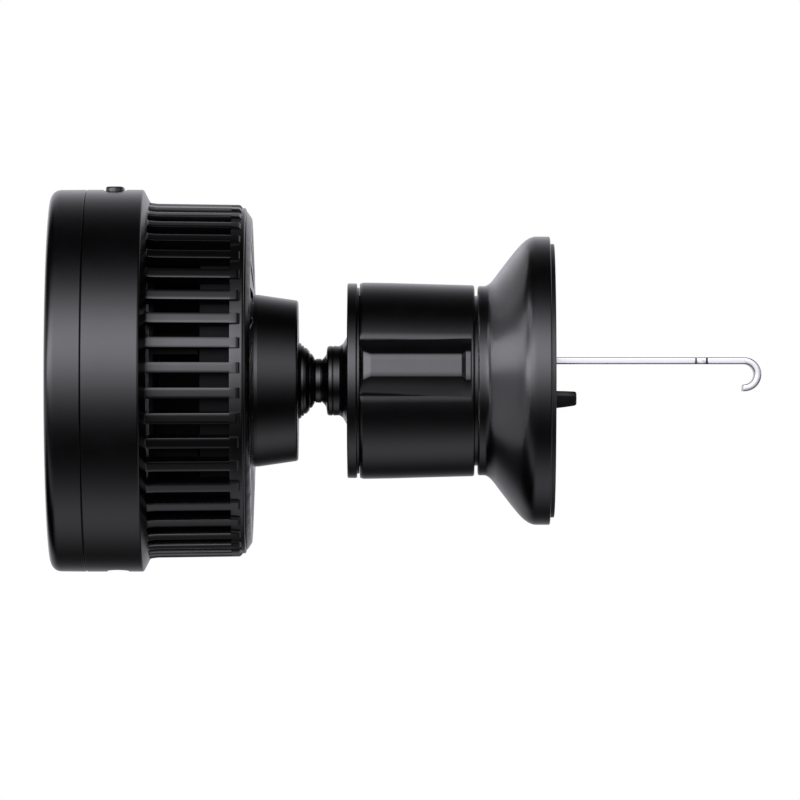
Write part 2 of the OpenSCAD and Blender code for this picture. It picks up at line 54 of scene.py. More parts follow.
# sizes that the CAD boxes don't give
BALL_R = 7.2
CAGE_LENGTH = 16.7
CAGE_IN_R = 26.8       # inside of the slats
RING_R = 28.05         # ring behind the slats
SLAT_FRONT_R = 28.9
SLAT_REAR_R = 28.56
SLAT_ROUND = 0.6       # rounding of each slat's rear end
WALL = 1.8             # shell of the head
CUP_R = 10.6           # the socket's part inside the head
CAVITY_R = 8.25        # the socket's ball cavity
BOSS_LENGTH = 7.4
BOSS_SEAT_R = 13.95
FLANGE_R = 15.8
FLANGE_WIDTH = 1.6
FLANGE_GAP = 0.45      # between flange and knob
SHOULDER_R = 15.1      # fills the gap in front of the knob
LIP_GAP = 0.55         # between knob and base
CROWN_R = 17.44        # top of the knob's grips
HOOK_THICK = 1.1
HOOK_BEND = 1.65       # inside radius of the hook's bend
HOOK_HALF = 3.0        # half of the strip's width

# counts and angles
SLATS = 44
GAP_HALF = 1.15        # half of the gap between two slats
SLOT_EDGE = 0.14       # rounding of the slats' edges
GRILLE_SLOTS = 26
SLOT_SLANT = math.radians(35)
GRIPS = 2
GRIP_ANGLE = math.radians(8)


def station(name, side):
    """Where a CAD node starts (side 0) or ends (side 1) along the X axis, in millimetres."""
    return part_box(name)[side].x / MM


def reach(name):
    """A CAD node's outer radius about the X axis, in millimetres."""
    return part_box(name)[1].y / MM


def middle(name):
    """The middle of a CAD node along the X axis, in millimetres."""
    low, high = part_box(name)
    return (low.x + high.x) / 2 / MM


BALL_JOINT = next(j for j in frame["joints"] if j["name"] == "head_pan")
ball_x = BALL_JOINT["pos_m"][0] / MM
face_x = station("front_cover", 0)
seam_x = station("front_cover", 1)
cage_x1 = station("head_housing", 1)
cage_x0 = cage_x1 - CAGE_LENGTH
boss_x1 = station("socket_boss", 1)
seat_x = boss_x1 - BOSS_LENGTH
knob_x0 = station("knob_sleeve", 0)
knob_x1 = station("knob_sleeve", 1)
flange_x1 = knob_x0 - FLANGE_GAP
flange_x0 = flange_x1 - FLANGE_WIDTH
lip_x = knob_x1 + LIP_GAP
rim_x = station("base_cup", 1)
rim_r = reach("base_cup")
head_r = reach("head_housing")
pad_x = station("base_pad", 1)
pad_r = reach("base_pad")

# ---------------------------------------------------------------- mesh helpers


def rounded(corners, steps=4, closed=True, support=True):
    """Points of an outline whose corners (x, r, fillet radius) are rounded.

    With support, a close point on each side of a fillet keeps the shading of the long faces even."""
    out = []
    for i, (x, r, fillet) in enumerate(corners):
        ends = not closed and i in (0, len(corners) - 1)
        if not fillet or ends:
            out.append((x, r))
            continue
        here = Vector((x, r))
        before = (Vector(corners[i - 1][:2]) - here).normalized()
        after = (Vector(corners[(i + 1) % len(corners)][:2]) - here).normalized()
        half = before.angle(after) / 2
        centre = here + (before + after).normalized() * fillet / math.sin(half)
        start = here + before * fillet / math.tan(half) - centre
        end = here + after * fillet / math.tan(half) - centre
        first = math.atan2(start.y, start.x)
        turn = (math.atan2(end.y, end.x) - first + math.pi) % TAU - math.pi
        arc = [(centre.x + fillet * math.cos(first + turn * k / steps),
                centre.y + fillet * math.sin(first + turn * k / steps)) for k in range(steps + 1)]
        margin = 0.12 * fillet / math.tan(half) if support else 0
        if margin:
            lead, tail = centre + start + before * margin, centre + end + after * margin
            arc = [tuple(lead)] + arc + [tuple(tail)]
        out += arc
    return out


def curve(*stations):
    """Points of a smooth chain of curves: start, then (control point, end) for each stretch."""
    steps = 12
    out = [stations[0]]
    for control, end in stations[1:]:
        start = out[-1]
        for k in range(1, steps + 1):
            t = k / steps
            out.append(tuple(a * (1 - t) ** 2 + 2 * c * t * (1 - t) + b * t * t
                             for a, c, b in zip(start, control, end)))
    return out


def make(name, points, faces, sharp=50, weighted=False):
    """A smooth mesh object from points in millimetres. Edges sharper than the angle stay crisp."""
    mesh = bpy.data.meshes.new(name)
    mesh.from_pydata([(x * MM, y * MM, z * MM) for x, y, z in points], [], faces)
    bm = bmesh.new()
    bm.from_mesh(mesh)
    bmesh.ops.delete(bm, geom=[v for v in bm.verts if not v.link_faces], context="VERTS")
    bmesh.ops.recalc_face_normals(bm, faces=bm.faces)
    bm.to_mesh(mesh)
    bm.free()
    obj = bpy.data.objects.new(name, mesh)
    bpy.context.scene.collection.objects.link(obj)
    smooth(obj, sharp, weighted)
    return obj


def smooth(obj, sharp=50, weighted=False):
    """Smooth shading with crisp edges; weighted, it follows the larger faces."""
    mesh = obj.data
    mesh.polygons.foreach_set("use_smooth", [True] * len(mesh.polygons))
    mesh.set_sharp_from_angle(angle=math.radians(sharp))
    if weighted:
        shading = obj.modifiers.new("weighted", "WEIGHTED_NORMAL")
        shading.keep_sharp = True
        shading.weight = 80


def lathe(name, outline, around=240, closed=True):
    """Turns an outline of (x, r) about the X axis. A point with no radius becomes a pole."""
    points, rings, faces = [], [], []
    for x, r in outline:
        count = around if r > 1e-6 else 1
        rings.append(range(len(points), len(points) + count))
        points += [
            (x, -r * math.cos(TAU * i / around), r * math.sin(TAU * i / around))
            for i in range(count)
        ]
    pairs = list(zip(rings, rings[1:]))
    if closed:
        pairs.append((rings[-1], rings[0]))
    for a, b in pairs:
        for i in range(around):
            j = (i + 1) % around
            if len(a) > 1 and len(b) > 1:
                faces.append((a[i], a[j], b[j], b[i]))
            elif len(a) > 1:
                faces.append((a[i], a[j], b[0]))
            elif len(b) > 1:
                faces.append((a[0], b[j], b[i]))
    return make(name, points, faces)


def loft(name, rings, sharp=50, weighted=False):
    """Joins rings with the same number of points, and closes both ends."""
    points = [p for ring in rings for p in ring]
    n = len(rings[0])
    faces = [
        (k * n + i, k * n + (i + 1) % n, (k + 1) * n + (i + 1) % n, (k + 1) * n + i)
        for k in range(len(rings) - 1)
        for i in range(n)
    ]
    faces += [tuple(range(n)), tuple(range(len(points) - n, len(points)))]
    return make(name, points, faces, sharp, weighted)


def pill(length, width, steps=12):
    """Outline of a slot with round ends, long along the first axis."""
    r, half = width / 2, (length - width) / 2
    out = []
    for side in (1, -1):
        for k in range(steps + 1):
            a = math.pi * (k / steps - 0.5)
            out.append((side * (half + r * math.cos(a)), side * r * math.sin(a)))
    return out


def plate(name, loops, top, bottom, edge, grid):
    """A flat or domed plate with holes and rounded upper edges.

    loops are functions of an inset that give an outline as (y, z) points, the outer one first;
    top and bottom are the X of each face at a radius; grid gives extra points inside the face."""
    drops = [(edge * (1 - math.sin(t)), edge * (1 - math.cos(t))) for t in (0, 0.5, 1.05, math.pi / 2)]
    flat = [loop(drops[0][0]) for loop in loops]
    points2, edges = [], []
    for outline in flat:
        first, n = len(points2), len(outline)
        points2 += outline
        edges += [(first + i, first + (i + 1) % n) for i in range(n)]
    points2 += [p for p in grid if inside(p, flat)]
    verts, _, tris, _, _, _ = geometry.delaunay_2d_cdt(
        [Vector(p) for p in points2], edges, [], 0, 1e-5)
    verts = [tuple(v) for v in verts]
    centres = [tuple(sum(verts[i][k] for i in t) / len(t) for k in (0, 1)) for t in tris]
    tris = [t for t, centre in zip(tris, centres) if inside(centre, flat)]
    points = [(top(math.hypot(*p)), *p) for p in verts]
    faces = [tuple(t) for t in tris]
    start = len(points)
    points += [(bottom(math.hypot(*p)), *p) for p in verts]
    faces += [tuple(start + i for i in t) for t in tris]
    base = 0
    for loop, outline in zip(loops, flat):
        n = len(outline)
        rows = [list(range(base, base + n))]
        for inset, drop in drops[1:]:
            rows.append(list(range(len(points), len(points) + n)))
            points += [(top(math.hypot(*p)) - drop, *p) for p in loop(inset)]
        rows.append(list(range(len(points), len(points) + n)))
        points += [(bottom(math.hypot(*p)), *p) for p in loop(0)]
        rows.append(list(range(start + base, start + base + n)))
        for a, b in zip(rows, rows[1:]):
            faces += [(a[i], a[(i + 1) % n], b[(i + 1) % n], b[i]) for i in range(n)]
        base += n
    return make(name, points, faces, 40, True)


def inside(p, loops):
    """Whether a point is inside the first outline and outside the others."""
    hits = []
    for outline in loops:
        odd = False
        for (ay, az), (by, bz) in zip(outline, outline[1:] + outline[:1]):
            if (az > p[1]) != (bz > p[1]) and p[0] < ay + (p[1] - az) * (by - ay) / (bz - az):
                odd = not odd
        hits.append(odd)
    return hits[0] and not any(hits[1:])


def circle(r, count):
    """Points of a circle."""
    return [(r * math.cos(TAU * i / count), r * math.sin(TAU * i / count)) for i in range(count)]


def cut(obj, cutter):
    """Takes the cutter's shape out of a mesh object."""
    tool = obj.modifiers.new("cut", "BOOLEAN")
    tool.operation, tool.solver, tool.object = "DIFFERENCE", "EXACT", cutter
    for m in obj.modifiers:
        m.show_viewport = m.type == "BOOLEAN"
    graph = bpy.context.evaluated_depsgraph_get()
    mesh = bpy.data.meshes.new_from_object(obj.evaluated_get(graph))
    obj.modifiers.remove(tool)
    for m in obj.modifiers:
        m.show_viewport = True
    obj.data = mesh
    mesh.name = obj.name
    bpy.data.objects.remove(cutter)
    smooth(obj, 40)


# ---------------------------------------------------------------- materials


def node(tree, kind, inputs=(), **settings):
    """A shader node with its settings and inputs; an input is a value or another node's output."""
    n = tree.nodes.new(kind)
    for key, value in settings.items():
        setattr(n, key, value)
    for key, value in dict(inputs).items():
        if isinstance(value, bpy.types.NodeSocket):
            tree.links.new(value, n.inputs[key])
        else:
            n.inputs[key].default_value = value
    return n


def ramp(tree, factor, stops):
    """A colour ramp over (position, grey or colour) stops."""
    n = node(tree, "ShaderNodeValToRGB", {"Fac": factor})
    for k, (at, value) in enumerate(stops):
        e = n.color_ramp.elements[k] if k < 2 else n.color_ramp.elements.new(at)
        e.position = at
        colour = value if isinstance(value, tuple) else (value, value, value)
        e.color = (*colour, 1)
    return n.outputs["Color"]


GRAIN_DEPTH = 0.00002


def material(name, dark, light, rough, metallic=0.0, grain=8000, bump=0.1, specular=0.5,
             stretch=(1, 1, 1), extra=None):
    """A surface with a fine grain, a slow colour and gloss variation, and grain in its bump."""
    m = bpy.data.materials.new(name)
    m.use_nodes = True
    tree = m.node_tree
    shader = tree.nodes["Principled BSDF"]
    place = node(tree, "ShaderNodeTexCoord").outputs["Object"]
    grain_at = node(tree, "ShaderNodeMapping", {"Vector": place, "Scale": stretch}).outputs["Vector"]
    fine = node(tree, "ShaderNodeTexNoise",
                {"Vector": grain_at, "Scale": grain, "Detail": 3.0, "Roughness": 0.6}).outputs["Fac"]
    slow = node(tree, "ShaderNodeTexNoise",
                {"Vector": place, "Scale": 250, "Detail": 4.0, "Roughness": 0.6}).outputs["Fac"]
    tone = node(tree, "ShaderNodeMath", {0: fine, 1: slow}, operation="ADD").outputs[0]
    half = node(tree, "ShaderNodeMath", {0: tone, 1: 0.5}, operation="MULTIPLY").outputs[0]
    low, high = 0.35, 0.65
    tree.links.new(ramp(tree, half, [(low, dark), (high, light)]), shader.inputs["Base Color"])
    gloss = node(tree, "ShaderNodeMapRange", {"Value": half, "From Min": low, "From Max": high,
                                              "To Min": rough[0], "To Max": rough[1]})
    tree.links.new(gloss.outputs["Result"], shader.inputs["Roughness"])
    height = extra(tree, place, fine) if extra else fine
    relief = node(tree, "ShaderNodeBump",
                  {"Height": height, "Strength": bump, "Distance": GRAIN_DEPTH})
    tree.links.new(relief.outputs["Normal"], shader.inputs["Normal"])
    shader.inputs["Metallic"].default_value = metallic
    shader.inputs["IOR"].default_value = 1.45
    shader.inputs["Specular IOR Level"].default_value = specular
    return m


def turned_rings(count_per_m):
    """Fine tool marks in rings round the X axis."""
    def build(tree, place, fine):
        wave = node(tree, "ShaderNodeTexWave",
                    {"Vector": place, "Scale": count_per_m, "Distortion": 2.0, "Detail": 2.0},
                    bands_direction="X")
        mixed = node(tree, "ShaderNodeMath", {0: wave.outputs["Fac"], 1: fine}, operation="ADD")
        return mixed.outputs[0]
    return build


MATERIALS = {
    "black_plastic": material("moulded_plastic", (0.0003, 0.0003, 0.00036), (0.0009, 0.0009, 0.0011),
                              (0.20, 0.25), grain=9000, bump=0.06),
    "inner_plastic": material("inner_moulding", (0.0010, 0.0010, 0.0012), (0.0022, 0.0022, 0.0025),
                              (0.62, 0.8), grain=6000, bump=0.15, specular=0.12),
    "black_rubber": material("black_rubber", (0.0012, 0.0012, 0.0014), (0.0026, 0.0026, 0.003), (0.34, 0.44),
                             grain=7000, bump=0.2),
    "face_silicone": material("soft_silicone", (0.007, 0.007, 0.0075), (0.011, 0.011, 0.012), (0.55, 0.66),
                              grain=5000, bump=0.2),
    "button_plastic": material("button_plastic", (0.006, 0.006, 0.007), (0.009, 0.009, 0.010), (0.25, 0.32),
                               grain=9000, bump=0.05),
    "polished_steel": material("polished_steel", (0.33, 0.33, 0.34), (0.40, 0.40, 0.41), (0.16, 0.24),
                               metallic=1.0, grain=2500, bump=0.04, stretch=(0.05, 1, 1)),
    "screw_steel": material("screw_steel", (0.50, 0.50, 0.51), (0.66, 0.66, 0.67), (0.22, 0.34),
                            metallic=1.0, grain=4000, bump=0.1, extra=turned_rings(900)),
    "brass": material("brass", (0.52, 0.36, 0.14), (0.70, 0.50, 0.22), (0.24, 0.36), metallic=1.0,
                      grain=4000, bump=0.1, extra=turned_rings(700)),
    "liner_plastic": material("liner_plastic", (0.60, 0.58, 0.52), (0.68, 0.66, 0.60), (0.38, 0.46),
                              grain=6000, bump=0.1),
    "magnet": material("magnet_nickel", (0.48, 0.48, 0.50), (0.62, 0.62, 0.64), (0.20, 0.32), metallic=1.0,
                       grain=3000, bump=0.08),
    "copper": material("copper_winding", (0.42, 0.16, 0.07), (0.62, 0.28, 0.13), (0.26, 0.40), metallic=1.0,
                       grain=3500, bump=0.12, extra=turned_rings(1800)),
    "ferrite": material("ferrite", (0.030, 0.030, 0.033), (0.060, 0.060, 0.064), (0.55, 0.75), grain=3500,
                        bump=0.3),
    "aluminium": material("aluminium", (0.50, 0.51, 0.53), (0.66, 0.67, 0.69), (0.30, 0.45), metallic=1.0,
                          grain=3000, bump=0.12, stretch=(1, 1, 0.06)),
    "board_green": material("solder_mask", (0.012, 0.070, 0.028), (0.020, 0.110, 0.045), (0.28, 0.42),
                            grain=2500, bump=0.1),
    "component_black": material("epoxy", (0.012, 0.012, 0.013), (0.024, 0.024, 0.026), (0.45, 0.6),
                                grain=4000, bump=0.2),
}


def dress(obj, body, slot, *nodes):
    """The piece rides on a body, takes a material slot's look and stands for CAD nodes."""
    obj.data.materials.clear()
    obj.data.materials.append(MATERIALS[slot])
    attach(obj, body)
    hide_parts(*nodes)


# ---------------------------------------------------------------- head: cover, pad, housing


def build_cover():
    """Front shell: a closed face recessed for the pad, a rounded edge and a wall to the seam."""
    seat = head_r - 2.95
    shell = rounded([
        (face_x, seat, 0.12), (face_x, head_r - 0.05, 1.7), (seam_x - 0.16, head_r, 0.05),
        (seam_x, head_r - 0.16, 0.05), (seam_x, head_r - WALL, 0.1), (face_x + 1.6, head_r - WALL, 0.3),
        (face_x + 1.6, 0, 0),
    ], 7, closed=False)
    dress(lathe("cover_shell", [(face_x + 0.8, 0), (face_x + 0.8, seat)] + shell, closed=False),
          "head", "black_plastic", "front_cover")


def build_face_pad():
    """Soft disc with two shallow rings."""
    r = head_r - 3
    outline = [(face_x, 0, 0)]
    for groove in (r - 7.9, r - 2.9):
        outline += [(face_x, groove - 0.35, 0.1), (face_x + 0.3, groove - 0.2, 0.08),
                    (face_x + 0.3, groove + 0.2, 0.08), (face_x, groove + 0.35, 0.1)]
    outline += [(face_x, r, 0.25), (face_x + 0.8, r, 0.05), (face_x + 0.8, 0, 0)]
    dress(lathe("contact_pad", rounded(outline, 4, closed=False), closed=False),
          "head", "face_silicone", "face_pad")


def build_housing():
    """Band and cage as one grid over the section and the angle, with a hole for each slot."""
    pitch = TAU / SLATS
    turns = (0, math.pi / 4, math.pi / 2)
    insets = [SLOT_EDGE * (1 - math.sin(t)) for t in turns]
    drops = [SLOT_EDGE * (1 - math.cos(t)) for t in turns] + [SLOT_EDGE]
    slot_x0, slot_x1 = cage_x0 + 1.1, cage_x1 - 2.3
    rib_end = cage_x1 - 1.25

    outer = rounded([
        (seam_x - 1.4, head_r - 1.9, 0.1), (seam_x, head_r - 1.9, 0.05), (seam_x, head_r - 0.16, 0.05),
        (seam_x + 0.16, head_r, 0.05), (cage_x0 + 0.02, head_r, 0.42),
        (cage_x0 + 0.72, head_r - 1.35, 0.12), (cage_x0 + 1.1, SLAT_FRONT_R, 0.5),
        (cage_x0 + 2.4, 28.74, 0), (rib_end, SLAT_REAR_R, 0),
    ], 5, closed=False)

    def profile(x):
        """The slats' outside radius at a station."""
        for (ax, ar), (bx, br) in zip(outer, outer[1:]):
            if ax <= x <= bx and bx > ax and ax > seam_x:
                return ar + (br - ar) * (x - ax) / (bx - ax)
        return SLAT_REAR_R

    # each row: station, radius outside the gaps, radius in the gaps, how far inside a slot it is
    rows = [(x, r, r, 0) for x, r in outer if x < slot_x0 - insets[0] - 0.01]
    for k, inset in enumerate(insets):
        rows.append((slot_x0 - inset, profile(slot_x0 - inset), profile(slot_x0 - inset), k))
    rows += [(x, r, r, 3) for x, r in outer if slot_x0 + 0.05 < x < slot_x1 - 0.1]
    rows += [(x, profile(x), profile(x), 3) for x in (cage_x0 + 6, cage_x0 + 10, slot_x1 - 0.03)]
    rows += [(slot_x1 + inset, profile(slot_x1 + inset), RING_R, 2 - k)
             for k, inset in enumerate(reversed(insets))]
    for k in range(6):
        a = math.radians(16 * k)
        rows.append((rib_end + SLAT_ROUND * math.sin(a),
                     SLAT_REAR_R - SLAT_ROUND * (1 - math.cos(a)), RING_R, 0))
    rows = [(*row, False) for row in sorted(rows)]
    tail = rounded([
        (rib_end + 0.65, RING_R, 0), (cage_x1, RING_R, 0.35), (cage_x1, CAGE_IN_R + 0.7, 0.08),
        (cage_x1 - 0.8, CAGE_IN_R + 0.7, 0), (cage_x1 - 0.8, CAGE_IN_R, 0),
    ], 5, closed=False)
    rows += [(x, r, r, 0, False) for x, r in tail]
    slot_rows = [row for row in rows if row[3] >= 2]
    rows += [(x, CAGE_IN_R, CAGE_IN_R, k, True) for x, _, _, k, _ in reversed(slot_rows)]
    rows += [(x, r, r, 0, False) for x, r in rounded([
        (cage_x0 - 1.4, CAGE_IN_R, 0), (cage_x0 - 1.4, head_r - WALL, 0), (seam_x + 1.2, head_r - WALL, 0),
        (seam_x + 1.2, head_r - 2.7, 0), (seam_x - 1.4, head_r - 2.7, 0),
    ], 2)]

    def lines(r):
        """The angles of one slat's grid lines at a radius, and how far inside the gap each is."""
        w = [math.asin((GAP_HALF + inset) / r) for inset in insets]
        half = [(w[2] * 0.6, 3), (w[2], 2), (w[1], 1), (w[0], 0), ((w[0] + pitch / 2) / 2, 0)]
        return [(0, 3), *half, (pitch / 2, 0), *[(pitch - a, k) for a, k in reversed(half)]]

    per = len(lines(28))
    count = per * SLATS
    points = []
    for x, rib, gap, in_x, inner in rows:
        grid = lines(CAGE_IN_R if inner else 28.6)
        for s in range(SLATS):
            for angle, in_a in grid:
                r = rib
                if not inner:
                    r = rib - drops[min(in_x, in_a)]
                    if gap != rib and in_a >= 2:
                        r = gap - drops[in_x]
                t = s * pitch + angle
                points.append((x, -r * math.cos(t), r * math.sin(t)))
    faces = []
    for j in range(len(rows)):
        a, b = rows[j], rows[(j + 1) % len(rows)]
        hole = a[3] >= 2 and b[3] >= 2 and a[4] == b[4]
        for i in range(count):
            if hole and i % per in (0, 1, per - 2, per - 1):
                continue
            n = (i + 1) % count
            k = (j + 1) % len(rows)
            faces.append((j * count + i, j * count + n, k * count + n, k * count + i))
    outer_slot = [j for j, row in enumerate(rows) if row[3] >= 2 and not row[4]]
    inner_slot = [j for j, row in enumerate(rows) if row[4]][::-1]
    for s in range(SLATS):
        across = [(s * per + k) % count for k in (-2, -1, 0, 1, 2)]
        last = len(outer_slot) - 1
        path = [(0, i) for i in across] + [(q, across[-1]) for q in range(1, last)]
        path += [(last, i) for i in reversed(across)] + [(q, across[0]) for q in range(last - 1, 0, -1)]
        for (qa, ia), (qb, ib) in zip(path, path[1:] + path[:1]):
            faces.append((outer_slot[qa] * count + ia, outer_slot[qb] * count + ib,
                          inner_slot[qb] * count + ib, inner_slot[qa] * count + ia))
    obj = make("slatted_housing", points, faces)

    centre = middle("mode_button")
    for length, width, low in ((8.2, 3.1, head_r - 4), (9.0, 3.9, head_r - 0.28)):
        ring = pill(length, width)
        cut(obj, loft("cutter", [[(centre + b, a, z) for a, b in ring] for z in (low, head_r + 3)]))
    centre = middle("usb_socket")
    ring = pill(9.3, 3.6)
    cut(obj, loft("cutter", [[(centre + b, a, -z) for a, b in ring] for z in (head_r - 4, head_r + 3)]))
    dress(obj, "head", "black_plastic", "head_housing")


def build_grille():
    """Domed rear disc with slanted slots."""
    outer_r, bevel_r, seat_r = 27.45, 26.3, 14.0
    slot_r, slot_length, slot_width = 20.6, 10, 1.5

    def top(r):
        """The outer face's station at a radius: a flat seat, a slight dome and a bevel."""
        if r > bevel_r:
            return cage_x1 + 0.9 - 0.75 * (r - bevel_r) / 1.15
        return cage_x1 + 1.4 - 0.5 * (max(r, seat_r) - seat_r) / 12.3

    def slot(k):
        a, c, s = TAU * k / GRILLE_SLOTS, math.cos(SLOT_SLANT), math.sin(SLOT_SLANT)

        def outline(inset):
            ring = [(slot_r + p * c - q * s, p * s + q * c)
                    for p, q in pill(slot_length + 2 * inset, slot_width + 2 * inset, 8)]
            return [(p * math.cos(a) - q * math.sin(a), p * math.sin(a) + q * math.cos(a)) for p, q in ring]
        return outline

    loops = [lambda inset: circle(outer_r - inset, 180)]
    loops += [slot(k) for k in range(GRILLE_SLOTS)]
    loops.append(lambda inset: circle(10.7 + inset, 120))
    grid = [p for r, n in ((12.2, 96), (seat_r, 120), (15, 120), (16, 120), (18, 130), (20, 130), (22, 130),
                           (24, 150), (25.4, 180), (bevel_r, 180)) for p in circle(r, n)]
    dress(plate("vent_disc", loops, top, lambda r: cage_x1 - 0.8, 0.16, grid),
          "head", "black_plastic", "rear_grille")


def build_boss():
    """Cone-shaped socket with its ball cavity."""
    cup_x = ball_x - 9.6
    steps = 24
    sweep = math.pi / 2 - 0.0729
    turns = [math.pi - k * sweep / steps for k in range(1, steps + 1)]
    cavity = [(ball_x + CAVITY_R * math.cos(a), CAVITY_R * math.sin(a)) for a in turns]
    front_r = BALL_R + 0.1
    bore = [(ball_x + front_r * math.cos(a), front_r * math.sin(a))
            for a in (1.65, 1.55, 1.45, 1.35, 1.25, 1.2)]
    shell = rounded([
        (boss_x1 - 0.25, 6.9, 0.05), (boss_x1, 7.3, 0.12), (boss_x1, 13.0, 0.45),
        (seat_x + 0.9, BOSS_SEAT_R, 0.6), (seat_x, BOSS_SEAT_R, 0.1), (seat_x, CUP_R, 0),
        (cup_x, CUP_R, 0.4), (cup_x, 0, 0),
    ], 5, closed=False)
    outline = [(ball_x - CAVITY_R, 0)] + cavity + bore + shell
    dress(lathe("ball_socket", outline, 200, closed=False), "head", "black_plastic", "socket_boss")


def build_button():
    """Oval key with a flange inside the head and a dished top."""
    centre = middle("mode_button")
    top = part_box("mode_button")[1].z / MM
    levels = [(head_r - 3.4, 9.2, 3.8), (head_r - 2.4, 9.2, 3.8), (head_r - 2.4, 8.0, 2.9),
              (top - 0.3, 8.0, 2.9), (top - 0.16, 7.93, 2.83), (top - 0.05, 7.75, 2.65), (top, 7.4, 2.3),
              (top - 0.04, 5.6, 1.2)]
    rings = [[(centre + b, a, z) for a, b in pill(length, width)] for z, length, width in levels]
    dress(loft("round_key", rings), "button", "button_plastic", "mode_button")


def build_port():
    """Inlet shell, open below."""
    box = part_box("usb_socket")
    centre = middle("usb_socket")
    low, high = box[0].z / MM, box[1].z / MM
    levels = [(high, 8.94, 3.2), (low + 0.06, 8.94, 3.2), (low, 8.82, 3.08), (low, 8.46, 2.72),
              (low + 0.06, 8.34, 2.6), (high - 1, 8.34, 2.6)]
    rings = [[(centre + b, a, z) for a, b in pill(length, width)] for z, length, width in levels]
    dress(loft("port_shell", rings), "head", "screw_steel", "usb_socket")


# ---------------------------------------------------------------- mount: ball stem, knob, base


def build_stem():
    """Ball with stepped end, neck ring, grooved collar, flare and flange."""
    ball = []
    turns = 36
    for k in range(turns + 1):
        a = math.pi - k * (math.pi - math.acos(4.0 / BALL_R)) / turns
        ball.append((ball_x + BALL_R * math.cos(a), BALL_R * math.sin(a) if k else 0))
    steps = [(4.02, 5.72), (4.38, 5.70), (4.46, 5.38), (4.84, 5.33), (5.32, 4.78), (5.36, 4.45), (5.72, 4.36),
             (6.1, 3.72), (6.2, 3.42)]
    neck = rounded([
        (ball_x + 6.24, 3.3, 0), (ball_x + 6.3, 3.55, 0.1), (ball_x + 7.15, 3.6, 0.15),
        (ball_x + 7.3, 3.4, 0.05),
        (ball_x + 7.75, 3.85, 0.3), (ball_x + 8.05, 4.3, 0.3), (ball_x + 8.2, 5.62, 0.42),
        (ball_x + 8.98, 5.66, 0.1), (ball_x + 9.1, 5.5, 0.06), (ball_x + 9.22, 5.66, 0.1),
        (ball_x + 10.15, 5.62, 0.3), (ball_x + 10.75, 6.0, 0.8), (flange_x0 - 0.02, 7.2, 0.3),
        (flange_x0, 15.5, 0.28), (flange_x0 + 0.1, FLANGE_R, 0.2), (flange_x1, FLANGE_R, 0.22),
        (flange_x1, SHOULDER_R, 0.05), (knob_x0 - 0.08, SHOULDER_R, 0.05),
        (knob_x0 - 0.08, 13.82, 0.05), (knob_x0 + 0.7, 13.82, 0),
        (knob_x0 + 0.7, 0, 0),
    ], 5, closed=False)
    outline = ball + [(ball_x + a, r) for a, r in steps] + neck
    dress(lathe("ball_and_flange", outline, 220, closed=False), "mount_base", "black_plastic", "ball_stem")


